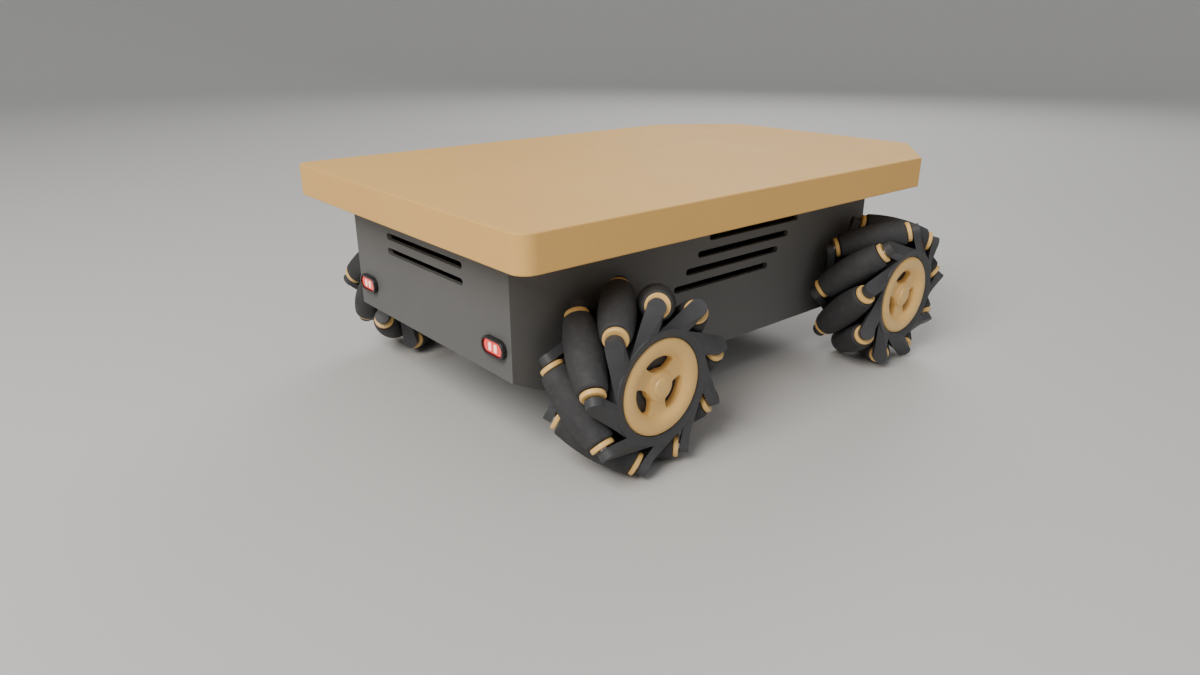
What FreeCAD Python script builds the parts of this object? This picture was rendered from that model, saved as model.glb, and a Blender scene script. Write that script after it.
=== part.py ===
import FreeCAD, Part
import math
import os
import Sketcher

# Mecanum wheel robot: a thick deck on a vented box body, carried by four
# mecanum wheels with nine free rollers each. Millimetres, +X forwards
# (headlamp end), +Y left, +Z up, origin on the floor under the deck's middle.

V = FreeCAD.Vector
DOC = FreeCAD.newDocument("mecanum_wheel_robot")
SHEET = DOC.addObject("Spreadsheet::Sheet", "dims")

DIMENSIONS = [
    ("deck_length", 385.0, "deck plate, front to back"),
    ("deck_width", 250.0, "deck plate, side to side"),
    ("deck_thick", 19.4, "deck plate thickness"),
    ("deck_top", 139.6, "height of the deck's top face"),
    ("deck_corner", 9.2, "radius of the two rear corners"),
    ("deck_nose_x", 58.0, "front corner cut, along X"),
    ("deck_nose_y", 44.0, "front corner cut, along Y"),
    ("deck_edge", 0.8, "rounding of the deck's top and bottom edges"),
    ("body_rear", -173.2, "rear face of the body box"),
    ("body_front", 134.8, "front face of the body box"),
    ("body_half", 86.2, "half width of the body box"),
    ("body_base", 33.0, "height of the body's flat underside"),
    ("tail_low", 51.3, "height where the rear face meets the sloped belly"),
    ("tail_in", -137.0, "where the sloped belly meets the underside"),
    ("nose_low", 43.0, "height where the front face meets its slope"),
    ("nose_in", 124.8, "where the front slope meets the underside"),
    ("wall", 3.0, "body wall thickness"),
    ("body_round", 0.6, "rounding of the body's outside edges"),
    ("vent_length", 85.6, "vent slot length"),
    ("vent_height", 4.2, "vent slot height"),
    ("vent_first", 104.4, "height of the top vent row"),
    ("vent_pitch", 9.15, "vent row spacing"),
    ("vent_mid", 14.0, "middle of the top side vent"),
    ("vent_lean", 9.65, "backwards step of each side vent below"),
    ("lamp_offset", 72.0, "lamp centre from the middle plane"),
    ("lamp_height", 67.7, "lamp centre height"),
    ("lamp_wide", 20.6, "lamp bezel width"),
    ("lamp_tall", 10.6, "lamp bezel height"),
    ("lamp_rim", 1.3, "bezel rim width round the lens"),
    ("lamp_proud", 2.8, "bezel height above the body wall"),
    ("lamp_ledge", 0.8, "how much wider the bezel is than its hole in the wall"),
    ("axle_x", 115.75, "wheel axle in front of and behind the middle"),
    ("axle_y", 115.75, "wheel mid plane from the middle plane"),
    ("axle_height", 50.0, "wheel radius"),
    ("roller_ring", 39.85, "radius of the circle of roller middles"),
    ("roller_half", 21.7, "half length of a roller"),
    ("roller_round", 1.2, "edge rounding of a roller"),
    ("roller_bore", 2.25, "roller bore radius"),
    ("screw_bore", 2.06, "radius of the deck screws' holes"),
    ("screw_depth", 13.0, "depth of the deck screws' holes in the deck"),
    ("pin_radius", 2.0, "roller pin radius"),
    ("pin_half", 27.6, "half length of a roller pin"),
    ("collar_start", 22.0, "collar's near face along the roller axis"),
    ("collar_thick", 2.8, "collar thickness"),
    ("collar_radius", 6.6, "collar radius"),
    ("collar_round", 0.8, "collar edge rounding"),
    ("tip_start", 25.6, "arm tip's near face along the roller axis"),
    ("tip_thick", 4.8, "arm tip thickness"),
    ("tip_radius", 4.8, "arm tip radius"),
    ("tip_shift", 0.5, "arm tip's sideways offset from the roller axis"),
    ("tip_drop", 0.6, "arm tip's inward offset from the roller axis"),
    ("ring_outer", 32.0, "side plate ring, outer radius"),
    ("ring_back", 30.1, "side plate ring, outer radius at its inner face"),
    ("ring_flare", 4.5, "height over which the ring widens, clear of the rollers"),
    ("ring_inner", 26.8, "side plate ring, inner radius"),
    ("ring_front", 22.2, "ring's outer face from the wheel's mid plane"),
    ("ring_lip", 20.7, "ring's inner edge, where its outer face dips to the hub cap"),
    ("ring_dish", 30.6, "radius where the ring's outer face starts to dip"),
    ("web_front", 14.0, "side plate web, outer face"),
    ("web_back", 10.5, "side plate web, inner face"),
    ("cap_radius", 26.2, "hub cap radius"),
    ("cap_rim", 20.4, "hub cap rim from the wheel's mid plane"),
    ("hub_radius", 10.0, "radius of the wheel's hub tube"),
    ("shaft_radius", 3.0, "drive shaft radius"),
    ("shaft_gap", 0.3, "gap round the drive shaft in the gear motor's bore"),
    ("motor_radius", 12.5, "gear motor radius"),
    ("motor_face", 80.0, "gear motor's front face from the middle plane"),
    ("gearbox_length", 24.0, "gearbox length"),
    ("motor_length", 34.0, "motor can length"),
    ("shelf_height", 70.0, "electronics shelf, underside height"),
    ("shelf_thick", 2.0, "electronics shelf thickness"),
    ("phase_rear", 28.6, "angle of the rear wheels' first roller"),
    ("phase_front", 31.4, "angle of the front wheels' first roller"),
]
ROLLERS = 9
TILT = math.radians(45.0)

# Cross-sections of an arm inwards of its tip: distance from the wheel's axis,
# then four corners as (along the rim, along the axle).
ARM_SECTIONS = [
    (26.0, ((21.0, 22.1), (16.1, 21.9), (24.0, 15.6), (27.4, 19.5))),
    (12.0, ((23.0, 22.1), (17.0, 22.1), (26.3, 16.5), (29.7, 21.4))),
]

for row, (alias, value, note) in enumerate(DIMENSIONS, start=1):
    SHEET.set(f"A{row}", str(value))
    SHEET.setAlias(f"A{row}", alias)
    SHEET.set(f"B{row}", note)
DOC.recompute()


def size(name):
    """Value of one spreadsheet cell."""
    return float(getattr(SHEET, name))


# ---------------------------------------------------------------- helpers

def origin_plane(body, role):
    return [item for item in body.Origin.OriginFeatures if item.Role == role][0]


def polygon_sketch(body, name, role, points, offset=None):
    """Closed polygon whose corners are pairs of spreadsheet expressions."""
    sketch = body.newObject("Sketcher::SketchObject", name)
    sketch.AttachmentSupport = [(origin_plane(body, role), "")]
    sketch.MapMode = "FlatFace"
    if offset is not None:
        sketch.setExpression("AttachmentOffset.Base.z", offset)
    corners = [(float(body.evalExpression(x)), float(body.evalExpression(y)))
               for x, y in points]
    count = len(corners)
    for i in range(count):
        start = V(corners[i][0], corners[i][1], 0)
        end = V(*corners[(i + 1) % count], 0)
        sketch.addGeometry(Part.LineSegment(start, end), False)
    for i in range(count):
        sketch.addConstraint(Sketcher.Constraint("Coincident", i, 2, (i + 1) % count, 1))
    for i in range(count):
        for axis in range(2):
            kind = ("DistanceX", "DistanceY")[axis]
            index = sketch.addConstraint(Sketcher.Constraint(kind, -1, 1, i, 1, corners[i][axis]))
            label = f"{'xy'[axis]}{i}"
            sketch.renameConstraint(index, label)
            sketch.setExpression(f"Constraints.{label}", points[i][axis])
    return sketch


def slot_sketch(body, name, role, middle, wide, tall, offset):
    """Horizontal slot with round ends; every argument is an expression."""
    sketch = body.newObject("Sketcher::SketchObject", name)
    sketch.AttachmentSupport = [(origin_plane(body, role), "")]
    sketch.MapMode = "FlatFace"
    sketch.setExpression("AttachmentOffset.Base.z", offset)
    centre_u, centre_v = (float(body.evalExpression(item)) for item in middle)
    radius = float(body.evalExpression(tall)) / 2
    reach = float(body.evalExpression(wide)) / 2 - radius
    left = V(centre_u - reach, centre_v, 0)
    right = V(centre_u + reach, centre_v, 0)
    up = V(0, radius, 0)
    normal = V(0, 0, 1)
    sketch.addGeometry(Part.LineSegment(left + up, right + up), False)
    sketch.addGeometry(Part.LineSegment(right - up, left - up), False)
    sketch.addGeometry(Part.ArcOfCircle(Part.Circle(right, normal, radius),
                                        -math.pi / 2, math.pi / 2), False)
    sketch.addGeometry(Part.ArcOfCircle(Part.Circle(left, normal, radius),
                                        math.pi / 2, 3 * math.pi / 2), False)
    for joint in ((0, 1, 3, 1), (0, 2, 2, 2), (1, 1, 2, 1), (1, 2, 3, 2)):
        sketch.addConstraint(Sketcher.Constraint("Tangent", *joint))
    sketch.addConstraint(Sketcher.Constraint("Horizontal", 0))
    named = [("right_u", ("DistanceX", -1, 1, 2, 3), f"{middle[0]} + ({wide} - {tall}) / 2"),
             ("left_u", ("DistanceX", -1, 1, 3, 3), f"{middle[0]} - ({wide} - {tall}) / 2"),
             ("centre_v", ("DistanceY", -1, 1, 2, 3), middle[1]),
             ("radius", ("Radius", 2), f"{tall} / 2")]
    for label, parts, text in named:
        value = float(body.evalExpression(text))
        index = sketch.addConstraint(Sketcher.Constraint(*parts, value))
        sketch.renameConstraint(index, label)
        sketch.setExpression(f"Constraints.{label}", text)
    return sketch


def pad(body, name, sketch, length, symmetric=False, back=False):
    feature = body.newObject("PartDesign::Pad", name)
    feature.Profile = sketch
    feature.setExpression("Length", length)
    if symmetric:
        feature.SideType = "Symmetric"
    feature.Reversed = back
    DOC.recompute()
    return feature


def pocket(body, name, sketch, length, symmetric=False):
    """Pocket that must take material away; its direction is turned if it does not."""
    before = body.Shape.Volume
    feature = body.newObject("PartDesign::Pocket", name)
    feature.Profile = sketch
    feature.setExpression("Length", length)
    if symmetric:
        feature.SideType = "Symmetric"
    DOC.recompute()
    if body.Shape.Volume > before - 1.0:
        feature.Reversed = not feature.Reversed
        DOC.recompute()
    assert body.Shape.Volume < before - 1.0, name
    return feature


def new_body(name):
    body = DOC.addObject("PartDesign::Body", name)
    body.Label = name
    NODES.append(body)
    return body


def computed(name, shape):
    """Node whose shape is worked out from the spreadsheet's values."""
    node = DOC.addObject("Part::Feature", name)
    node.Shape = shape
    node.Label = name
    NODES.append(node)
    return node


def cylinder(radius, start, end, bore=0.0):
    """Solid or hollow cylinder between two points."""
    axis = end - start
    solid = Part.makeCylinder(radius, axis.Length, start, axis)
    if bore > 0:
        solid = solid.cut(Part.makeCylinder(bore, axis.Length, start, axis))
    return solid


def box(x0, x1, y0, y1, z0, z1):
    return Part.makeBox(x1 - x0, y1 - y0, z1 - z0, V(x0, y0, z0))


def merged(shapes):
    return shapes[0].multiFuse(shapes[1:]).removeSplitter()


NODES = []


# ------------------------------------------------------------- deck plate

def build_deck():
    body = new_body("deck_plate")
    back, front = "-dims.deck_length / 2", "dims.deck_length / 2"
    side = "dims.deck_width / 2"
    outline = [(back, f"-{side}"),
               (f"{front} - dims.deck_nose_x", f"-{side}"),
               (front, f"-{side} + dims.deck_nose_y"),
               (front, f"{side} - dims.deck_nose_y"),
               (f"{front} - dims.deck_nose_x", side),
               (back, side)]
    sketch = polygon_sketch(body, "deck_outline", "XY_Plane", outline,
                            "dims.deck_top - dims.deck_thick")
    plate = pad(body, "deck_pad", sketch, "dims.deck_thick")
    rear = -size("deck_length") / 2
    corners = [f"Edge{i + 1}" for i, edge in enumerate(plate.Shape.Edges)
               if abs(edge.BoundBox.XMin - rear) < 0.01
               and edge.BoundBox.ZLength > size("deck_thick") - 0.01]
    rounded = body.newObject("PartDesign::Fillet", "deck_rear_corners")
    rounded.Base = (plate, corners)
    rounded.setExpression("Radius", "dims.deck_corner")
    DOC.recompute()
    rims = [f"Edge{i + 1}" for i, edge in enumerate(rounded.Shape.Edges)
            if edge.BoundBox.ZLength < 0.01]
    soft = body.newObject("PartDesign::Fillet", "deck_soft_edges")
    soft.Base = (rounded, rims)
    soft.setExpression("Radius", "dims.deck_edge")
    DOC.recompute()
    for i, (x, y) in enumerate(block_centres()):
        hole = body.newObject("Sketcher::SketchObject", f"deck_screw_hole_{i}")
        hole.AttachmentSupport = [(origin_plane(body, "XY_Plane"), "")]
        hole.MapMode = "FlatFace"
        hole.setExpression("AttachmentOffset.Base.z", "dims.deck_top - dims.deck_thick")
        hole.addGeometry(Part.Circle(V(x, y, 0), V(0, 0, 1), size("screw_bore")), False)
        drill = body.newObject("PartDesign::Pocket", f"deck_screw_drill_{i}")
        drill.Profile = hole
        drill.setExpression("Length", "dims.screw_depth")
        drill.Reversed = True
        DOC.recompute()
    return body


def block_centres():
    """Middles of the four blocks inside the body that hold the deck's screws."""
    inset = size("wall") + 7.0
    return [(x, y) for x in (size("body_rear") + inset, size("body_front") - inset)
            for y in (-size("body_half") + inset, size("body_half") - inset)]


# ------------------------------------------------------------- body shell

def build_body():
    """Open-topped folded box with a sloped tail, vents, lamp and shaft holes."""
    body = new_body("body_shell")
    top = "dims.deck_top - dims.deck_thick"
    outside = [("dims.body_rear", "dims.tail_low"), ("dims.tail_in", "dims.body_base"),
               ("dims.nose_in", "dims.body_base"), ("dims.body_front", "dims.nose_low"),
               ("dims.body_front", top), ("dims.body_rear", top)]
    profile = polygon_sketch(body, "body_profile", "XZ_Plane", outside)
    block = pad(body, "body_pad", profile, "dims.body_half * 2", symmetric=True)
    edges = [f"Edge{i + 1}" for i, edge in enumerate(block.Shape.Edges)
             if edge.BoundBox.ZMax < size("deck_top") - size("deck_thick") - 0.01]
    soft = body.newObject("PartDesign::Fillet", "body_soft_edges")
    soft.Base = (block, edges)
    soft.setExpression("Radius", "dims.body_round")
    DOC.recompute()
    inside = [("dims.body_rear + dims.wall", "dims.tail_low + dims.wall * 0.6"),
              ("dims.tail_in + dims.wall * 0.25", "dims.body_base + dims.wall"),
              ("dims.nose_in - dims.wall * 0.4", "dims.body_base + dims.wall"),
              ("dims.body_front - dims.wall", "dims.nose_low + dims.wall * 0.4"),
              ("dims.body_front - dims.wall", f"{top} + 2"),
              ("dims.body_rear + dims.wall", f"{top} + 2")]
    cavity = polygon_sketch(body, "body_cavity", "XZ_Plane", inside)
    pocket(body, "body_hollow", cavity, "(dims.body_half - dims.wall) * 2", symmetric=True)
    for row in range(4):
        middle = (f"dims.vent_mid - {row} * dims.vent_lean",
                  f"dims.vent_first - {row} * dims.vent_pitch")
        sketch = slot_sketch(body, f"side_vent_{row}", "XZ_Plane", middle,
                             "dims.vent_length", "dims.vent_height", "0")
        pocket(body, f"side_vent_cut_{row}", sketch, "dims.body_half * 2 + 4", symmetric=True)
    for row in range(2):
        middle = ("0", f"dims.vent_first - {row} * dims.vent_pitch")
        sketch = slot_sketch(body, f"rear_vent_{row}", "YZ_Plane", middle,
                             "dims.vent_length", "dims.vent_height", "dims.body_rear")
        pocket(body, f"rear_vent_cut_{row}", sketch, "dims.wall * 2 + 2", symmetric=True)
    for end, plane in (("rear", "dims.body_rear"), ("front", "dims.body_front")):
        for side, sign in (("right", "-"), ("left", "")):
            sketch = slot_sketch(body, f"{end}_{side}_lamp_hole", "YZ_Plane",
                                 (f"{sign}dims.lamp_offset", "dims.lamp_height"),
                                 "(dims.lamp_wide - dims.lamp_ledge)",
                                 "(dims.lamp_tall - dims.lamp_ledge)", plane)
            pocket(body, f"{end}_{side}_lamp_cut", sketch, "dims.wall * 2 + 2", symmetric=True)
    for end, sign in (("rear", "-"), ("front", "")):
        hole = body.newObject("Sketcher::SketchObject", f"{end}_shaft_hole")
        hole.AttachmentSupport = [(origin_plane(body, "XZ_Plane"), "")]
        hole.MapMode = "FlatFace"
        centre = V(float(body.evalExpression(f"{sign}dims.axle_x")), size("axle_height"), 0)
        hole.addGeometry(Part.Circle(centre, V(0, 0, 1), 5.0), False)
        pocket(body, f"{end}_shaft_cut", hole, "dims.body_half * 2 + 4", symmetric=True)
    for i, (x, y) in enumerate(block_centres()):
        corner = [(f"{x - 7.0}", f"{y - 7.0}"), (f"{x + 7.0}", f"{y - 7.0}"),
                  (f"{x + 7.0}", f"{y + 7.0}"), (f"{x - 7.0}", f"{y + 7.0}")]
        sketch = polygon_sketch(body, f"deck_block_{i}", "XY_Plane", corner, f"{top} - 10")
        pad(body, f"deck_block_pad_{i}", sketch, "10")
        hole = body.newObject("Sketcher::SketchObject", f"deck_block_hole_{i}")
        hole.AttachmentSupport = [(origin_plane(body, "XY_Plane"), "")]
        hole.MapMode = "FlatFace"
        hole.setExpression("AttachmentOffset.Base.z", f"{top} - 5")
        hole.addGeometry(Part.Circle(V(x, y, 0), V(0, 0, 1), size("screw_bore")), False)
        pocket(body, f"deck_block_drill_{i}", hole, "12", symmetric=True)
    return body


def build_deck_screws():
    """Four socket screws that pull the deck down onto the body's blocks."""
    seat = size("deck_top") - size("deck_thick") - 10.0
    screws = []
    for x, y in block_centres():
        shank = cylinder(2.0, V(x, y, seat - 0.5), V(x, y, seat + 22.0))
        head = cylinder(3.5, V(x, y, seat - 4.0), V(x, y, seat))
        head = head.makeFillet(0.4, [edge for edge in head.Edges
                                     if edge.BoundBox.ZLength < 0.01])
        hexagon = [V(x + 1.73 * math.cos(math.radians(60 * k)),
                     y + 1.73 * math.sin(math.radians(60 * k)), seat - 4.1)
                   for k in range(7)]
        socket = Part.Face(Part.makePolygon(hexagon)).extrude(V(0, 0, 2.1))
        screws.append(shank.fuse(head).cut(socket).removeSplitter())
    return computed("deck_screws", Part.makeCompound(screws))


# ------------------------------------------------------------------ lamps

def slot_solid(wide, tall, depth, side, height, face, outward):
    """Stadium prism standing on the plane X = face and growing along outward."""
    radius = tall / 2
    reach = wide / 2 - radius
    centres = [V(face, side - reach, height), V(face, side + reach, height)]
    grow = V(outward * depth, 0, 0)
    solids = [cylinder(radius, centre, centre + grow) for centre in centres]
    low, high = sorted((face, face + outward * depth))
    solids.append(box(low, high, side - reach, side + reach, height - radius, height + radius))
    return merged(solids)


def build_lamps(end, face, outward):
    """Bezels and lenses of the two lamps at one end of the body."""
    wide, tall, rim = size("lamp_wide"), size("lamp_tall"), size("lamp_rim")
    proud, height = size("lamp_proud"), size("lamp_height")
    neck = size("wall") + 1.5
    bezels, lenses = [], []
    for side in (-size("lamp_offset"), size("lamp_offset")):
        flange = slot_solid(wide, tall, proud, side, height, face, outward)
        front = face + outward * proud
        rims = [edge for edge in flange.Edges
                if edge.BoundBox.XLength < 0.01 and abs(edge.BoundBox.XMin - front) < 0.01]
        flange = flange.makeFillet(0.6, rims)
        inset = size("lamp_ledge") + 0.2
        stem = slot_solid(wide - inset, tall - inset, neck, side, height, face, -outward)
        bezel = flange.fuse(stem)
        room = slot_solid(wide - 2 * rim, tall - 2 * rim, proud + neck + 2, side, height,
                          face + outward * (proud + 1), -outward)
        bezels.append(bezel.cut(room).removeSplitter())
        lens = slot_solid(wide - 2 * rim - 0.04, tall - 2 * rim - 0.04, neck + proud - 0.7,
                          side, height, face + outward * (proud - 0.7), -outward)
        skin = face + outward * (proud - 0.7)
        rims = [edge for edge in lens.Edges
                if edge.BoundBox.XLength < 0.01 and abs(edge.BoundBox.XMin - skin) < 0.01]
        lenses.append(lens.makeFillet(1.0, rims))
    computed(f"{end}_lamp_bezels", Part.makeCompound(bezels))
    computed(f"{end}_lamp_lenses", Part.makeCompound(lenses))


# ------------------------------------------------------- inside the body

def motor_places():
    return [(x, y) for x in (-size("axle_x"), size("axle_x")) for y in (-1, 1)]


def build_motors():
    """Four gear motors lying across the body, output ends outwards."""
    radius, face = size("motor_radius"), size("motor_face")
    z = size("axle_height")
    motors = []
    for x, side in motor_places():
        def point(depth):
            return V(x, side * (face - depth), z)
        joint = size("gearbox_length")
        back = joint + size("motor_length")
        parts = [cylinder(radius, point(0), point(joint)),
                 cylinder(radius - 0.4, point(joint), point(back)),
                 cylinder(radius - 6.0, point(back), point(back + 2.0)),
                 cylinder(5.0, point(-2.5), point(0.5))]
        motor = merged(parts)
        bore = cylinder(size("shaft_radius") + size("shaft_gap"), point(-3.0), point(12.0))
        motors.append(motor.cut(bore))
    return computed("gear_motors", Part.makeCompound(motors))


def build_brackets():
    """Motor mounts: a plate against each side wall with a foot on the floor."""
    half, wall = size("body_half"), size("wall")
    floor = size("body_base") + wall
    z = size("axle_height")
    plates = []
    for x, side in motor_places():
        def across(inner, outer):
            return sorted((side * inner, side * outer))
        y0, y1 = across(size("motor_face"), half - wall)
        inward = -1 if x > 0 else 1

        def along(near, far):
            return sorted((x + inward * near, x + inward * far))
        x0, x1 = along(-7.0, 16.0)
        upright = box(x0, x1, y0, y1, floor, z + 16.0)
        y0, y1 = across(size("motor_face") - 14.0, half - wall)
        x0, x1 = along(16.0, 30.0)
        foot = box(x0, x1, y0, y1, floor, floor + 3.0)
        x0, x1 = along(15.0, 18.0)
        web = box(x0, x1, y0, y1, floor, z + 6.0)
        bracket = merged([upright, foot, web])
        hole = cylinder(5.06, V(x, side * 70.0, z), V(x, side * 90.0, z))
        room = cylinder(size("motor_radius") + 0.3, V(x, side * 40.0, z),
                        V(x, side * size("motor_face"), z))
        plates.append(bracket.cut(hole).cut(room))
    return computed("motor_brackets", Part.makeCompound(plates))


def build_battery():
    floor = size("body_base") + size("wall")
    pack = box(-68.0, 68.0, -34.0, 34.0, floor, floor + 28.0)
    pack = pack.makeFillet(3.0, pack.Edges)
    return computed("battery_pack", pack)


def build_shelf():
    """Electronics shelf on six posts, with cut-outs along its long sides."""
    low = size("shelf_height")
    high = low + size("shelf_thick")
    floor = size("body_base") + size("wall")
    plate = box(-96.0, 96.0, -74.0, 74.0, low, high)
    rims = [edge for edge in plate.Edges if edge.BoundBox.ZLength > 1.0]
    plate = plate.makeFillet(5.0, rims)
    for side in (-1, 1):
        y0, y1 = sorted((side * 64.0, side * 80.0))
        plate = plate.cut(box(-30.0, 30.0, y0, y1, low - 1, high + 1))
    posts = [cylinder(3.5, V(x, y, floor), V(x, y, low))
             for x in (-84.0, 84.0) for y in (-56.0, 56.0)]
    posts += [cylinder(3.5, V(0, y, floor), V(0, y, low)) for y in (-50.0, 50.0)]
    return computed("electronics_shelf", merged([plate] + posts))


def build_board():
    """Control board with its processor, drivers, terminals and sockets."""
    base = size("shelf_height") + size("shelf_thick")
    low = base + 6.0
    high = low + 1.6
    board = box(-60.0, 60.0, -40.0, 40.0, low, high)
    parts = [board, box(-9.0, 9.0, -9.0, 9.0, high, high + 2.0),
             box(40.0, 58.0, -12.0, 12.0, high, high + 10.0)]
    for x in (-44.0, -26.0, 22.0, 30.0):
        parts.append(box(x, x + 6.0, -24.0, -12.0, high, high + 3.0))
    for x in (-50.0, -25.0, 5.0, 30.0):
        parts.append(box(x, x + 15.0, 30.0, 39.0, high, high + 9.0))
        parts.append(box(x, x + 15.0, -39.0, -30.0, high, high + 9.0))
    for x in (-52.0, -40.0):
        parts.append(cylinder(4.0, V(x, 12.0, high), V(x, 12.0, high + 11.0)))
    for x in (-55.0, 55.0):
        for y in (-26.0, 26.0):
            parts.append(cylinder(2.5, V(x, y, base), V(x, y, low)))
    return computed("control_board", merged(parts))


# ----------------------------------------------------------------- wheels
# A wheel is drawn about local Z, which points away from the robot, with the
# first roller's middle at angle 0 on local X. hand is +1 or -1.

def roller_frame(index, hand):
    """Middle, outward radial, circumferential and axis directions of one roller."""
    angle = 2 * math.pi * index / ROLLERS
    radial = V(math.cos(angle), math.sin(angle), 0)
    around = V(-math.sin(angle), math.cos(angle), 0)
    axis = V(0, 0, math.cos(TILT)) + around * (hand * math.sin(TILT))
    return radial * size("roller_ring"), radial, around, axis


def quad(points):
    return Part.makePolygon(points + [points[0]])


def arm(index, hand):
    """One bent arm: a round-ended tip across the roller's axis, twisted into the ring."""
    middle, radial, around, axis = roller_frame(index, hand)
    edge = axis.cross(radial) * hand
    spin = around * hand
    start, thick, tip = size("tip_start"), size("tip_thick"), size("tip_radius")
    centre = middle + axis * start + edge * size("tip_shift") - radial * size("tip_drop")
    head = cylinder(tip, centre, centre + axis * thick)
    sections = [[centre + edge * (sign * tip) + axis * depth
                 for sign, depth in ((-1, thick), (-1, 0), (1, 0), (1, thick))]]
    for distance, corners in ARM_SECTIONS:
        sections.append([radial * distance + spin * along + V(0, 0, depth)
                         for along, depth in corners])
    stem = Part.makeLoft([quad(points) for points in sections], True, True)
    return [head, stem]


def side_plate(hand):
    """Ring, web and nine arms of one side plate, on the positive local Z side."""
    web_back, web_front = size("web_back"), size("web_front")
    ring_front, outer = size("ring_front"), size("ring_outer")
    ring = cylinder(outer, V(0, 0, web_back), V(0, 0, ring_front))
    rims = [edge for edge in ring.Edges if edge.BoundBox.ZLength < 0.01]
    ring = ring.makeFillet(0.8, rims)
    back, tall = size("ring_back"), ring_front - web_back
    front = back + (outer - back) * tall / size("ring_flare")
    ring = ring.common(Part.makeCone(back, front, tall, V(0, 0, web_back)))
    solids = [ring]
    for index in range(ROLLERS):
        solids += arm(index, hand)
    plate = solids[0].multiFuse(solids[1:])
    inner, lip, dish = size("ring_inner"), size("ring_lip"), size("ring_dish")
    rise = ring_front - lip
    spread = (dish - inner) / rise
    plate = plate.cut(Part.makeCone(inner, inner + spread * 2 * rise, 2 * rise, V(0, 0, lip)))
    plate = plate.cut(cylinder(inner, V(0, 0, web_front), V(0, 0, ring_front + 9)))
    plate = plate.cut(cylinder(size("hub_radius") + 0.02, V(0, 0, -1), V(0, 0, web_front + 1)))
    plate = plate.cut(cylinder(inner, V(0, 0, -5), V(0, 0, web_back)))
    for index in range(ROLLERS):
        middle, radial, around, axis = roller_frame(index, hand)
        near = middle + axis * (size("tip_start") - 1)
        far = middle + axis * size("pin_half")
        plate = plate.cut(cylinder(size("pin_radius") + 0.01, near, far))
    return plate


def wheel_frame(hand):
    """Both side plates, the hub tube that joins them and the drive shaft."""
    outer = side_plate(hand)
    inner = side_plate(hand)
    inner.rotate(V(0, 0, 0), V(1, 0, 0), 180)
    depth = size("web_front")
    tube = cylinder(size("hub_radius"), V(0, 0, -depth - 2.0), V(0, 0, depth - 0.5))
    reach = size("axle_y") - size("motor_face")
    shaft = cylinder(size("shaft_radius"), V(0, 0, -reach - 10.0), V(0, 0, -depth))
    return Part.makeCompound([outer, inner, tube.fuse(shaft).removeSplitter()])


def axle_set(hand):
    """Nine roller pins, each with the collar at either end of its roller."""
    pins = []
    for index in range(ROLLERS):
        middle, radial, around, axis = roller_frame(index, hand)
        half = size("pin_half") - 0.05
        pieces = [cylinder(size("pin_radius"), middle - axis * half, middle + axis * half)]
        for sign in (-1, 1):
            near = middle + axis * (sign * size("collar_start"))
            far = near + axis * (sign * size("collar_thick"))
            collar = cylinder(size("collar_radius"), near, far)
            pieces.append(collar.makeFillet(size("collar_round"), [edge for edge in collar.Edges
                                                  if len(edge.Vertexes) == 1]))
        pins.append(merged(pieces))
    return Part.makeCompound(pins)


def build_cap(name, place):
    """Dished hub cap: a rounded rim, a floor with three openings and a stepped boss."""
    body = new_body(name)
    rim, edge = "dims.cap_rim", "dims.cap_radius"
    seat = "dims.web_front"
    outline = [("0", f"{seat} + 0.3"), (edge, f"{seat} + 0.3"), (edge, f"{rim} - 0.6"),
               (f"{edge} - 0.4", f"{rim} + 0.1"), (f"{edge} - 1.2", f"{rim} + 0.7"),
               (f"{edge} - 2.6", f"{rim} + 1.3"), (f"{edge} - 4.3", f"{rim} + 1.55"),
               (f"{edge} - 6.0", f"{rim} + 1.4"), (f"{edge} - 7.6", f"{rim} + 0.8"),
               (f"{edge} - 8.8", f"{rim} - 0.1"),
               ("16.6", f"{rim} - 0.9"), ("16.2", f"{rim} - 2.0"), ("15.6", f"{rim} - 2.4"),
               ("8.3", f"{rim} - 2.1"), ("7.7", f"{rim} - 0.9"), ("7.0", f"{rim} - 0.3"),
               ("5.4", f"{rim} - 0.2"), ("5.1", f"{rim} + 0.5"), ("4.5", f"{rim} + 0.9"),
               ("0", f"{rim} + 1.0")]
    sketch = polygon_sketch(body, f"{name}_profile", "XZ_Plane", outline)
    turned = body.newObject("PartDesign::Revolution", f"{name}_turned")
    turned.Profile = sketch
    turned.ReferenceAxis = (sketch, ["V_Axis"])
    turned.Angle = 360.0
    DOC.recompute()
    half = [(8.6, 18), (11.2, 33), (14.4, 32), (15.9, 25), (15.9, 12)]
    opening = half + [(15.9, 0)] + [(r, -a) for r, a in reversed(half)] + [(8.6, 0)]
    corners = [(f"{r * math.cos(math.radians(a + 90)):.4f}",
                f"{r * math.sin(math.radians(a + 90)):.4f}") for r, a in opening]
    window = polygon_sketch(body, f"{name}_window", "XY_Plane", corners, f"{rim} + 3")
    cut = pocket(body, f"{name}_window_cut", window, "12")
    around = body.newObject("PartDesign::PolarPattern", f"{name}_windows")
    around.Originals = [cut]
    around.Axis = ([item for item in body.Origin.OriginFeatures if item.Role == "Z_Axis"][0], [""])
    around.Angle = 360.0
    around.Occurrences = 3
    body.Tip = around
    DOC.recompute()
    body.Placement = place
    return body


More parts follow.
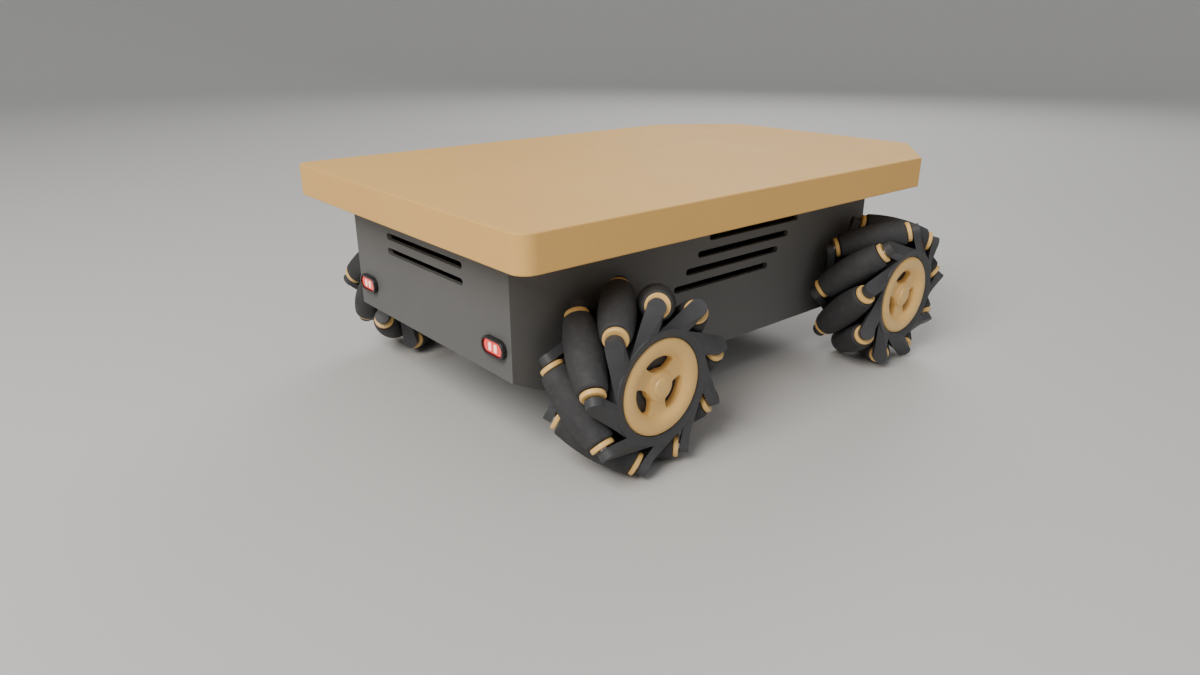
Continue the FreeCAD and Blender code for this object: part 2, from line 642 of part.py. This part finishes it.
def roller_profile():
    """Half section of the rubber roller, drawn along the roller's axis."""
    half, ring = size("roller_half"), size("roller_ring")
    reach, bore, soft = size("axle_height"), size("roller_bore"), size("roller_round")

    def radius(along):
        return math.sqrt(reach ** 2 - along ** 2 / 2) - ring
    end = radius(half)
    turn = half - soft
    crown = Part.Arc(V(-turn, radius(turn), 0), V(0, radius(0), 0), V(turn, radius(turn), 0))
    bend = math.sqrt(0.5)
    right = Part.Arc(V(turn, radius(turn), 0),
                     V(turn + soft * bend, end - soft + soft * bend, 0), V(half, end - soft, 0))
    left = Part.Arc(V(-half, end - soft, 0),
                    V(-turn - soft * bend, end - soft + soft * bend, 0),
                    V(-turn, radius(turn), 0))
    lines = [(V(half, end - soft, 0), V(half, bore, 0)), (V(half, bore, 0), V(-half, bore, 0)),
             (V(-half, bore, 0), V(-half, end - soft, 0))]
    sketch = DOC.addObject("Sketcher::SketchObject", "roller_profile")
    for curve in (crown, right):
        sketch.addGeometry(curve, False)
    for start, stop in lines:
        sketch.addGeometry(Part.LineSegment(start, stop), False)
    sketch.addGeometry(left, False)
    return sketch


def wheel_place(end, side):
    """Placement of a wheel: local Z outwards, first roller at its rest angle."""
    phase = size("phase_front") if end > 0 else size("phase_rear")
    centre = V(end * size("axle_x"), side * size("axle_y"), size("axle_height"))
    upright = FreeCAD.Rotation(V(1, 0, 0), 90 if side < 0 else -90)
    spin = FreeCAD.Rotation(V(0, 0, 1), phase if side < 0 else -phase)
    return FreeCAD.Placement(centre, upright.multiply(spin)), upright, centre


def build_wheels():
    profile = roller_profile()
    corners = [("rear_right", -1, -1), ("rear_left", -1, 1),
               ("front_right", 1, -1), ("front_left", 1, 1)]
    for name, end, side in corners:
        hand = 1 if (end > 0) == (side > 0) else -1
        place, upright, centre = wheel_place(end, side)
        frame = computed(f"wheel_{name}_frame", wheel_frame(hand))
        frame.Placement = place
        axles = computed(f"wheel_{name}_axles", axle_set(hand))
        axles.Placement = place
        flat = FreeCAD.Placement(centre, upright)
        spin = FreeCAD.Rotation(V(0, 0, 1), 0 if side < 0 else 180)
        build_cap(f"wheel_{name}_cap", flat.multiply(FreeCAD.Placement(V(), spin)))
        for index in range(ROLLERS):
            middle, radial, around, axis = roller_frame(index, hand)
            node = DOC.addObject("Part::Revolution", f"roller_{name}_{index + 1}")
            node.Label = f"roller_{name}_{index + 1}"
            node.Source = profile
            node.Axis = V(1, 0, 0)
            node.Base = V(0, 0, 0)
            node.Angle = 360.0
            node.Solid = True
            turn = FreeCAD.Rotation(axis, radial, axis.cross(radial), "XYZ")
            node.Placement = place.multiply(FreeCAD.Placement(middle, turn))
            NODES.append(node)


# ------------------------------------------------------------------ build

build_deck()
build_body()
build_deck_screws()
build_lamps("tail", size("body_rear"), -1)
build_lamps("head", size("body_front"), 1)
build_motors()
build_brackets()
build_battery()
build_shelf()
build_board()
build_wheels()
DOC.recompute()

for item in DOC.Objects:
    if "Invalid" in item.State or "Error" in item.State:
        raise RuntimeError(f"{item.Name}: {item.State}")
os.makedirs("parts", exist_ok=True)
for node in NODES:
    if node.Shape.isNull() or not node.Shape.isValid() or not node.Shape.Solids:
        raise RuntimeError(f"{node.Label}: shape is not a valid solid")
    node.Shape.exportStep(os.path.join("parts", f"{node.Label}.step"))
print(f"{len(NODES)} nodes written")
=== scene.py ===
import math

import bmesh
import bpy
from mathutils import Matrix, Vector


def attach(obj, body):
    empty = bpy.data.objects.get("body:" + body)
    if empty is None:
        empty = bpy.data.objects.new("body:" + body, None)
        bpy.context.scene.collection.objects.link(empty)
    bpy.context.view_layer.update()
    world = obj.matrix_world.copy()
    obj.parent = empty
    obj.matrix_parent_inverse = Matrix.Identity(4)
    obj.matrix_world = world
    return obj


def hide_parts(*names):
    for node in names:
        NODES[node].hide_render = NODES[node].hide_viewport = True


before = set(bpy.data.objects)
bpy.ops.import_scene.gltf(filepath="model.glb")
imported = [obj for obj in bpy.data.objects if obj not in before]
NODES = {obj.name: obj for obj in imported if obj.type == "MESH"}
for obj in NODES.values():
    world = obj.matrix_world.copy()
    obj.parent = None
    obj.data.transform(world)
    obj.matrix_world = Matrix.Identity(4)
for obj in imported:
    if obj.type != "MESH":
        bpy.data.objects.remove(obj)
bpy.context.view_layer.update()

# Mecanum wheel robot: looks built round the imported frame. Metres, +X forwards
# (headlamp end), +Y left, +Z up, floor at Z = 0.

MM = 0.001
WHEELS = ("rear_right", "rear_left", "front_right", "front_left")
AXLE_X, AXLE_Y, AXLE_Z = 0.11575, 0.11575, 0.05
LAMP_Y, LAMP_Z = 0.072, 0.0677
TAIL_LENS_X, HEAD_LENS_X = -0.1753, 0.1369      # outer faces of the lenses
PHASE_REAR, PHASE_FRONT = 28.6, 31.4            # first roller's angle, degrees
ROLLERS, ROLLER_RING = 9, 0.03985
ROLLER_STEP = 360 / ROLLERS
PIN_REACH = 0.0022                              # just over a roller pin's radius

CAMERA_PLACE = (-0.3820, -0.4000, 0.2233)
CAMERA_TURN = (68.66, 0.0, -40.42)              # degrees
CAMERA_LENS, CAMERA_SENSOR = 24.15, 36.0        # millimetres

FLOOR_FLAT, FLOOR_BEND, WALL_TOP = 2.6, 1.4, 2.6
FLOOR_STEPS, FLOOR_SIDES = 14, 96
SKY_COLOUR, SKY_STRENGTH = (0.92, 0.95, 1.0, 1.0), 0.44
# name, place, point it faces, (width, height), watts, colour
LIGHTS = [("key", (-1.3, -0.35, 1.35), (0, 0, 0.08), (1.0, 1.0), 34.0, (1.0, 0.97, 0.93)),
          ("fill", (0.2, -1.9, 0.9), (0, 0, 0.06), (1.6, 0.9), 2.5, (0.95, 0.97, 1.0)),
          ("back", (1.5, 1.0, 1.2), (0, 0, 0.1), (1.2, 0.8), 14.0, (1, 1, 1))]


# ------------------------------------------------------------------ camera

def make_camera():
    """Camera at the viewing angle the robot is shown from."""
    data = bpy.data.cameras.new("camera")
    data.lens = CAMERA_LENS
    data.sensor_width = CAMERA_SENSOR
    data.clip_start = 0.01
    data.clip_end = 60.0
    camera = bpy.data.objects.new("camera", data)
    camera.location = CAMERA_PLACE
    camera.rotation_euler = [math.radians(angle) for angle in CAMERA_TURN]
    bpy.context.scene.collection.objects.link(camera)
    bpy.context.scene.camera = camera


# ----------------------------------------------------------- stage, lights

def make_stage():
    """Pale studio bowl: a flat floor that turns up into a low round wall."""
    profile = [(FLOOR_FLAT, 0.0)]
    for step in range(1, FLOOR_STEPS + 1):
        angle = math.radians(90 * step / FLOOR_STEPS)
        profile.append((FLOOR_FLAT + FLOOR_BEND * math.sin(angle),
                        FLOOR_BEND - FLOOR_BEND * math.cos(angle)))
    profile.append((FLOOR_FLAT + FLOOR_BEND, WALL_TOP))
    mesh = bmesh.new()
    around = FLOOR_SIDES
    rings = []
    centre = mesh.verts.new((0, 0, 0))
    for r, z in profile:
        rings.append([mesh.verts.new((r * math.cos(2 * math.pi * k / around),
                                      r * math.sin(2 * math.pi * k / around), z))
                      for k in range(around)])
    for k in range(around):
        mesh.faces.new((centre, rings[0][k], rings[0][(k + 1) % around]))
    for low, high in zip(rings, rings[1:]):
        for k in range(around):
            n = (k + 1) % around
            mesh.faces.new((low[k], high[k], high[n], low[n]))
    data = bpy.data.meshes.new("studio_floor")
    mesh.to_mesh(data)
    mesh.free()
    for face in data.polygons:
        face.use_smooth = True
    floor = bpy.data.objects.new("studio_floor", data)
    bpy.context.scene.collection.objects.link(floor)
    coat = Coat("studio_floor", (0.62, 0.61, 0.59), roughness=0.55, specular=0.3)
    data.materials.append(coat.material)


def area_light(name, place, aim, size, power, colour):
    """Rectangular lamp at a place, facing a point."""
    data = bpy.data.lights.new(name, "AREA")
    data.shape = "RECTANGLE"
    data.size, data.size_y = size
    data.energy = power
    data.color = colour
    lamp = bpy.data.objects.new(name, data)
    lamp.location = place
    lamp.rotation_euler = (Vector(aim) - Vector(place)).to_track_quat("-Z", "Y").to_euler()
    bpy.context.scene.collection.objects.link(lamp)


def make_lights():
    """Pale even sky, a soft key from behind the robot, and two weaker lamps."""
    world = bpy.data.worlds.new("studio")
    world.use_nodes = True
    background = world.node_tree.nodes["Background"]
    background.inputs["Color"].default_value = SKY_COLOUR
    background.inputs["Strength"].default_value = SKY_STRENGTH
    bpy.context.scene.world = world
    for light in LIGHTS:
        area_light(*light)


# --------------------------------------------------------------- materials

class Coat:
    """One procedural material; its helpers add colour, grain, wear, painted edge highlights and
    bump.
    """

    def __init__(self, name, colour, roughness=0.5, metallic=0.0, specular=0.5,
                 coat=0.0, coat_roughness=0.1):
        self.material = bpy.data.materials.new(name)
        self.material.use_nodes = True
        self.tree = self.material.node_tree
        self.shader = self.tree.nodes["Principled BSDF"]
        self.colour = colour
        shader = self.shader.inputs
        shader["Base Color"].default_value = (*colour, 1)
        shader["Roughness"].default_value = roughness
        shader["Metallic"].default_value = metallic
        shader["Specular IOR Level"].default_value = specular
        shader["Coat Weight"].default_value = coat
        shader["Coat Roughness"].default_value = coat_roughness
        self.place = self.add("ShaderNodeTexCoord").outputs["Object"]
        self.colour_out = None
        self.rough_out = None
        self.height = None

    def add(self, kind, **settings):
        node = self.tree.nodes.new(kind)
        for key, value in settings.items():
            setattr(node, key, value)
        return node

    def feed(self, node, **values):
        """Sets or links a node's inputs; a key is the input's name, _ for a space, or iN."""
        for key, value in values.items():
            socket = node.inputs[int(key[1:])] if key[1:].isdigit() and key[0] == "i" \
                else node.inputs[key.replace("_", " ")]
            if isinstance(value, bpy.types.NodeSocket):
                self.tree.links.new(value, socket)
            else:
                socket.default_value = value
        return node

    def noise(self, scale, detail=3.0, rough=0.5, stretch=None, place=None):
        """Value of a noise whose scale is in features per metre."""
        place = place or self.place
        if stretch:
            mapping = self.feed(self.add("ShaderNodeMapping"), Vector=place, Scale=stretch)
            place = mapping.outputs[0]
        node = self.feed(self.add("ShaderNodeTexNoise"), Vector=place, Scale=scale,
                         Detail=detail, Roughness=rough)
        return node.outputs["Fac"]

    def spread(self, value, low, high, out_low=0.0, out_high=1.0):
        """Maps a value from low..high to out_low..out_high, clamped."""
        node = self.feed(self.add("ShaderNodeMapRange"), Value=value, i1=low, i2=high,
                         i3=out_low, i4=out_high)
        return node.outputs[0]

    def math(self, kind, a, b=0.0):
        return self.feed(self.add("ShaderNodeMath", operation=kind), i0=a, i1=b).outputs[0]

    def mix(self, factor, a, b):
        node = self.add("ShaderNodeMix", data_type="RGBA")
        self.feed(node, i0=factor, i6=a, i7=b)
        return node.outputs[2]

    def edge(self, radius, low=0.02, high=0.25):
        """1 on sharp edges and 0 on open faces, from rounding the surface's normal."""
        bevel = self.feed(self.add("ShaderNodeBevel", samples=4), Radius=radius)
        normal = self.add("ShaderNodeNewGeometry").outputs["Normal"]
        dot = self.feed(self.add("ShaderNodeVectorMath", operation="DOT_PRODUCT"),
                        i0=bevel.outputs[0], i1=normal).outputs["Value"]
        return self.spread(self.math("SUBTRACT", 1.0, dot), low, high)

    def tint(self, factor, colour):
        """Lays another colour over the base where factor is 1."""
        base = self.colour_out or (*self.colour, 1)
        self.colour_out = self.mix(factor, base, (*colour, 1))

    def vary(self, value, share):
        """Darkens and lightens the colour by a share of itself, following value."""
        base = self.colour_out or (*self.colour, 1)
        bright = self.spread(value, 0.25, 0.75, 1 - share, 1 + share)
        node = self.add("ShaderNodeVectorMath", operation="SCALE")
        self.feed(node, i0=base if isinstance(base, bpy.types.NodeSocket) else base[:3],
                  Scale=bright)
        self.colour_out = node.outputs[0]

    def roughen(self, value, low, high):
        self.rough_out = self.spread(value, 0.25, 0.75, low, high)

    def raise_(self, value, depth):
        """Adds value times depth, in metres, to the bump height."""
        part = self.math("MULTIPLY", value, depth)
        self.height = part if self.height is None else self.math("ADD", self.height, part)

    def finish(self, soft=0.0):
        """Links what was gathered to the shader; soft rounds edges by that radius."""
        normal = None
        if soft:
            normal = self.feed(self.add("ShaderNodeBevel", samples=4), Radius=soft).outputs[0]
        if self.height is not None:
            bump = self.feed(self.add("ShaderNodeBump"), Strength=1.0, Distance=1.0,
                             Height=self.height)
            if normal is not None:
                self.feed(bump, Normal=normal)
            normal = bump.outputs[0]
        if normal is not None:
            self.feed(self.shader, Normal=normal)
        if self.colour_out is not None:
            self.feed(self.shader, Base_Color=self.colour_out)
        if self.rough_out is not None:
            self.feed(self.shader, Roughness=self.rough_out)
        return self.material


def deck_paint():
    coat = Coat("deck_paint", (0.80, 0.47, 0.145), specular=0.15)
    coat.vary(coat.noise(9.0, 4.0), 0.025)
    coat.vary(coat.noise(1500.0, 2.0), 0.03)
    wear = coat.math("MULTIPLY", coat.edge(0.0012), coat.spread(coat.noise(160.0, 5.0), 0.42, 0.7))
    coat.tint(coat.math("MULTIPLY", wear, 0.45), (0.74, 0.58, 0.36))
    coat.roughen(coat.noise(22.0, 5.0), 0.50, 0.62)
    coat.raise_(coat.noise(900.0, 2.0), 0.00003)
    return coat.finish()


def body_coat():
    coat = Coat("body_coat", (0.135, 0.134, 0.130), specular=0.25)
    coat.vary(coat.noise(11.0, 4.0), 0.05)
    coat.vary(coat.noise(1300.0, 2.0), 0.07)
    wear = coat.math("MULTIPLY", coat.edge(0.0012), coat.spread(coat.noise(150.0, 5.0), 0.40, 0.7))
    coat.tint(coat.math("MULTIPLY", wear, 0.35), (0.24, 0.24, 0.235))
    coat.roughen(coat.noise(25.0, 5.0), 0.46, 0.60)
    coat.raise_(coat.noise(1000.0, 3.0), 0.00004)
    return coat.finish()


def moulded_nylon():
    coat = Coat("moulded_nylon", (0.052, 0.053, 0.057), specular=0.45)
    coat.vary(coat.noise(60.0, 4.0), 0.08)
    coat.vary(coat.noise(900.0, 2.0, stretch=(1, 0.3, 1)), 0.06)
    # lighter edges here are partly wear and partly a painted highlight along the arms' edges
    wear = coat.math("MULTIPLY", coat.edge(0.0008), coat.spread(coat.noise(220.0, 5.0), 0.40, 0.7))
    coat.tint(coat.math("MULTIPLY", wear, 0.4), (0.15, 0.15, 0.155))
    coat.roughen(coat.noise(70.0, 5.0), 0.42, 0.58)
    coat.raise_(coat.noise(700.0, 3.0), 0.00003)
    return coat.finish(soft=0.0004)


def roller_rubber():
    coat = Coat("roller_rubber", (0.046, 0.046, 0.048), specular=0.3)
    coat.vary(coat.noise(80.0, 4.0), 0.10)
    dust = coat.spread(coat.noise(260.0, 6.0, 0.65), 0.50, 0.75)
    coat.tint(coat.math("MULTIPLY", dust, 0.12), (0.20, 0.19, 0.175))
    coat.roughen(coat.noise(150.0, 5.0), 0.62, 0.80)
    coat.raise_(coat.noise(1600.0, 4.0, 0.6), 0.00004)
    return coat.finish()


def satin_gold():
    coat = Coat("satin_gold", (0.88, 0.545, 0.175), specular=0.45, coat=0.35, coat_roughness=0.25)
    coat.vary(coat.noise(45.0, 4.0), 0.04)
    coat.vary(coat.noise(1800.0, 2.0), 0.03)
    # painted highlight: a lighter gold band laid evenly along every sharp edge of caps and collars
    coat.tint(coat.math("MULTIPLY", coat.edge(0.0007), 0.25), (0.92, 0.72, 0.42))
    coat.roughen(coat.noise(90.0, 5.0), 0.34, 0.46)
    coat.raise_(coat.noise(1200.0, 2.0), 0.00002)
    return coat.finish()


def steel():
    coat = Coat("bright_steel", (0.62, 0.62, 0.61), metallic=1.0)
    coat.vary(coat.noise(400.0, 3.0), 0.08)
    coat.roughen(coat.noise(600.0, 4.0), 0.18, 0.34)
    coat.raise_(coat.noise(2500.0, 2.0, stretch=(1, 6, 1)), 0.00001)
    return coat.finish()


def plain(name, colour, roughness=0.5, metallic=0.0, grain=500.0):
    coat = Coat(name, colour, metallic=metallic)
    coat.vary(coat.noise(grain * 0.1, 4.0), 0.08)
    coat.vary(coat.noise(grain, 3.0), 0.06)
    coat.roughen(coat.noise(grain * 0.3, 4.0), roughness - 0.06, roughness + 0.06)
    coat.raise_(coat.noise(grain * 2.0, 3.0), 0.00002)
    return coat.finish()


def lamp_lens(name, colour, glow):
    coat = Coat(name, colour, roughness=0.18, coat=1.0, coat_roughness=0.04)
    coat.vary(coat.noise(300.0, 3.0), 0.08)
    coat.roughen(coat.noise(500.0, 3.0), 0.14, 0.24)
    coat.shader.inputs["Emission Color"].default_value = (*colour, 1)
    coat.shader.inputs["Emission Strength"].default_value = glow
    return coat.finish()


# ------------------------------------------------------------- own pieces

# (radius, height) pairs of a cap in millimetres, and half of one window's outline
# as (radius in millimetres, angle from the window's middle in degrees)
CAP_PROFILE = [(26.6, 14.4), (26.6, 19.8), (26.3, 20.7), (25.5, 21.4), (24.3, 21.8),
               (22.8, 22.0), (21.4, 22.0), (20.0, 21.7), (18.8, 21.1), (17.8, 20.3),
               (17.0, 19.4), (16.4, 18.7), (15.6, 18.3), (14.0, 18.15), (10.0, 18.15),
               (8.9, 18.3), (8.3, 18.7), (8.0, 19.3), (7.9, 19.8), (7.5, 20.1),
               (6.9, 20.2), (5.8, 20.2), (5.3, 20.35), (5.1, 20.8), (4.9, 21.2),
               (4.4, 21.38), (2.2, 21.4), (0.0, 21.4)]
CAP_WINDOW = [(8.7, 0), (8.7, 12), (9.0, 21), (10.2, 30), (12.4, 35), (14.6, 37),
              (15.6, 35.5), (16.1, 29), (16.25, 18), (16.25, 9), (16.25, 0)]
WINDOW_ANGLES = (90.0, 210.0, 330.0)
WINDOW_CHAMFER = 0.00035
WINDOW_HEIGHTS = (0.012, 0.0176, 0.0185, 0.024)
LED_HALF, LED_CORNER, LED_SPREAD = (0.0013, 0.0023), 0.0009, 0.0025
# height above the lens and how far the outline has drawn in there
LED_LAYERS = [(-0.0006, 0.0), (0.00008, 0.0), (0.00018, 0.00008), (0.00022, 0.0002)]


def lathe(name, profile, steps=144):
    """Closed solid of revolution about Z from (radius, height) pairs in millimetres."""
    mesh = bmesh.new()
    rings = []
    for radius, height in profile:
        if radius == 0:
            rings.append([mesh.verts.new((0, 0, height * MM))])
            continue
        rings.append([mesh.verts.new((radius * MM * math.cos(2 * math.pi * k / steps),
                                      radius * MM * math.sin(2 * math.pi * k / steps),
                                      height * MM)) for k in range(steps)])
    mesh.faces.new(rings[0][::-1])
    for low, high in zip(rings, rings[1:]):
        for k in range(steps):
            n = (k + 1) % steps
            if len(high) == 1:
                mesh.faces.new((low[k], low[n], high[0]))
            else:
                mesh.faces.new((low[k], low[n], high[n], high[k]))
    return solid(name, mesh)


def solid(name, mesh):
    """Object from a finished bmesh."""
    bmesh.ops.recalc_face_normals(mesh, faces=mesh.faces)
    data = bpy.data.meshes.new(name)
    mesh.to_mesh(data)
    mesh.free()
    piece = bpy.data.objects.new(name, data)
    bpy.context.scene.collection.objects.link(piece)
    return piece


def cut(piece, cutter):
    """Takes the cutter out of the piece for good and drops the cutter."""
    boolean = piece.modifiers.new("cut", "BOOLEAN")
    boolean.operation = "DIFFERENCE"
    boolean.object = cutter
    boolean.solver = "EXACT"
    fixed(piece)
    bpy.data.objects.remove(cutter)


def fixed(piece):
    """Turns a piece's modifiers into plain geometry."""
    graph = bpy.context.evaluated_depsgraph_get()
    data = bpy.data.meshes.new_from_object(piece.evaluated_get(graph))
    piece.modifiers.clear()
    piece.data = data


def tidied(piece, angle=32.0):
    """Merges doubled points, drops faces of no size and shades smooth between edges."""
    mesh = bmesh.new()
    mesh.from_mesh(piece.data)
    bmesh.ops.remove_doubles(mesh, verts=mesh.verts, dist=2e-6)
    bmesh.ops.dissolve_degenerate(mesh, edges=mesh.edges, dist=2e-6)
    bmesh.ops.recalc_face_normals(mesh, faces=mesh.faces)
    mesh.to_mesh(piece.data)
    mesh.free()
    for face in piece.data.polygons:
        face.use_smooth = True
    piece.data.set_sharp_from_angle(angle=math.radians(angle))


def widened(outline, reach):
    """A closed outline with every point moved outwards by a distance."""
    count = len(outline)
    moved = []
    for k in range(count):
        (ax, ay), (bx, by), (cx, cy) = outline[k - 1], outline[k], outline[(k + 1) % count]
        tangent = Vector((cx - ax, cy - ay)).normalized()
        moved.append((bx + tangent.y * reach, by - tangent.x * reach))
    return moved


def stacked(name, layers):
    """Closed solid through outlines of equal length at rising heights."""
    mesh = bmesh.new()
    rings = [[mesh.verts.new((x, y, height)) for x, y in outline]
             for height, outline in layers]
    mesh.faces.new(rings[0][::-1])
    mesh.faces.new(rings[-1])
    count = len(rings[0])
    for low, high in zip(rings, rings[1:]):
        for k in range(count):
            n = (k + 1) % count
            mesh.faces.new((low[k], low[n], high[n], high[k]))
    return solid(name, mesh)


def turned(x, y, side):
    """Wheel frame: local Z outwards, first cap window upwards."""
    upright = Matrix.Rotation(math.radians(90 if side < 0 else -90), 4, "X")
    half_turn = Matrix.Rotation(0 if side < 0 else math.pi, 4, "Z")
    return Matrix.Translation((x, y, AXLE_Z)) @ upright @ half_turn


def make_cap(wheel, material):
    """Hub cap: smooth rim, dished floor with three openings, two-step boss."""
    cap = lathe(f"hub_cap_{wheel}", CAP_PROFILE)
    for middle in WINDOW_ANGLES:
        ring = CAP_WINDOW + [(r, -a) for r, a in reversed(CAP_WINDOW[1:-1])]
        outline = [(r * MM * math.cos(math.radians(middle - a)),
                    r * MM * math.sin(math.radians(middle - a))) for r, a in ring]
        wide = widened(outline, WINDOW_CHAMFER)
        low, chamfer_low, chamfer_high, high = WINDOW_HEIGHTS
        cut(cap, stacked("window", [(low, outline), (chamfer_low, outline),
                                    (chamfer_high, wide), (high, wide)]))
    tidied(cap)
    side = -1 if wheel.endswith("right") else 1
    end = -1 if wheel.startswith("rear") else 1
    cap.data.transform(turned(end * AXLE_X, side * AXLE_Y, side))
    cap.data.materials.append(material)
    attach(cap, f"wheel_{wheel}")
    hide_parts(f"wheel_{wheel}_cap")


def rounded_box(half_x, half_y, corner):
    """Anticlockwise outline of a rectangle with round corners, about the origin."""
    outline = []
    for cx, cy, start in ((1, 1, 0), (-1, 1, 90), (-1, -1, 180), (1, -1, 270)):
        for step in range(5):
            angle = math.radians(start + 22.5 * step)
            outline.append((cx * (half_x - corner) + corner * math.cos(angle),
                            cy * (half_y - corner) + corner * math.sin(angle)))
    return outline


def make_leds(end, face, outward, material):
    """Two upright emitters side by side on each lamp's lens."""
    for side, offset in (("right", -LAMP_Y), ("left", LAMP_Y)):
        for k, shift in enumerate((-LED_SPREAD, LED_SPREAD)):
            outline = rounded_box(*LED_HALF, LED_CORNER)
            layers = [(height, widened(outline, -inset) if inset else outline)
                      for height, inset in LED_LAYERS]
            led = stacked(f"{end}_led_{side}_{k + 1}", layers)
            tidied(led)
            basis = Matrix(((0, 0, outward), (outward, 0, 0), (0, 1, 0))).to_4x4()
            led.data.transform(Matrix.Translation((face, offset + shift, LAMP_Z)) @ basis)
            led.data.materials.append(material)
            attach(led, "chassis")


def paint(node, material):
    """Gives a CAD node one finish all over."""
    data = NODES[node].data
    data.materials.clear()
    data.materials.append(material)
    for face in data.polygons:
        face.material_index = 0


def roller_axes(wheel):
    """Middle and axis direction, in metres, of each of a wheel's nine rollers."""
    side = -1 if wheel.endswith("right") else 1
    end = -1 if wheel.startswith("rear") else 1
    hand = 1 if end * side > 0 else -1
    phase = PHASE_FRONT if end > 0 else PHASE_REAR
    for k in range(ROLLERS):
        angle = math.radians(phase + ROLLER_STEP * k * (1 if side < 0 else -1))
        radial = Vector((math.cos(angle), 0, math.sin(angle)))
        spin = Vector((-math.sin(angle), 0, math.cos(angle))) * (-side * hand)
        middle = Vector((end * AXLE_X, side * AXLE_Y, AXLE_Z)) + radial * ROLLER_RING
        yield middle, (Vector((0, side, 0)) + spin) / math.sqrt(2)


def paint_axles(wheel, collar, pin):
    """Collars one finish, and the roller pins inside them another."""
    node = f"wheel_{wheel}_axles"
    paint(node, collar)
    data = NODES[node].data
    data.materials.append(pin)
    place = NODES[node].matrix_world
    axes = list(roller_axes(wheel))
    for face in data.polygons:
        spot = place @ face.center
        away = min((spot - middle - axis * (spot - middle).dot(axis)).length
                   for middle, axis in axes)
        face.material_index = 1 if away < PIN_REACH else 0


def paint_nodes():
    deck, body, nylon, rubber = deck_paint(), body_coat(), moulded_nylon(), roller_rubber()
    gold, metal = satin_gold(), steel()
    black = plain("bezel_black", (0.02, 0.02, 0.021), 0.3, grain=600.0)
    paint("deck_plate", deck)
    paint("body_shell", body)
    paint("deck_screws", metal)
    for end, lens in (("tail", lamp_lens("tail_lens", (0.78, 0.03, 0.022), 0.75)),
                      ("head", lamp_lens("head_lens", (0.85, 0.70, 0.30), 0.6))):
        paint(f"{end}_lamp_bezels", black)
        paint(f"{end}_lamp_lenses", lens)
    make_leds("tail", TAIL_LENS_X, -1, lamp_lens("tail_led", (1.0, 0.50, 0.46), 1.5))
    make_leds("head", HEAD_LENS_X, 1, lamp_lens("head_led", (1.0, 0.90, 0.70), 1.5))
    paint("gear_motors", plain("motor_can", (0.42, 0.41, 0.40), 0.35, 1.0))
    paint("motor_brackets", plain("bracket_steel", (0.16, 0.16, 0.165), 0.5, 0.6))
    paint("battery_pack", plain("battery_wrap", (0.015, 0.05, 0.14), 0.35))
    paint("electronics_shelf", plain("shelf_sheet", (0.035, 0.035, 0.037), 0.45))
    paint("control_board", plain("circuit_board", (0.01, 0.09, 0.035), 0.4))
    for wheel in WHEELS:
        paint(f"wheel_{wheel}_frame", nylon)
        make_cap(wheel, gold)
        paint_axles(wheel, gold, metal)
        for k in range(1, ROLLERS + 1):
            paint(f"roller_{wheel}_{k}", rubber)


make_camera()
make_stage()
make_lights()
paint_nodes()
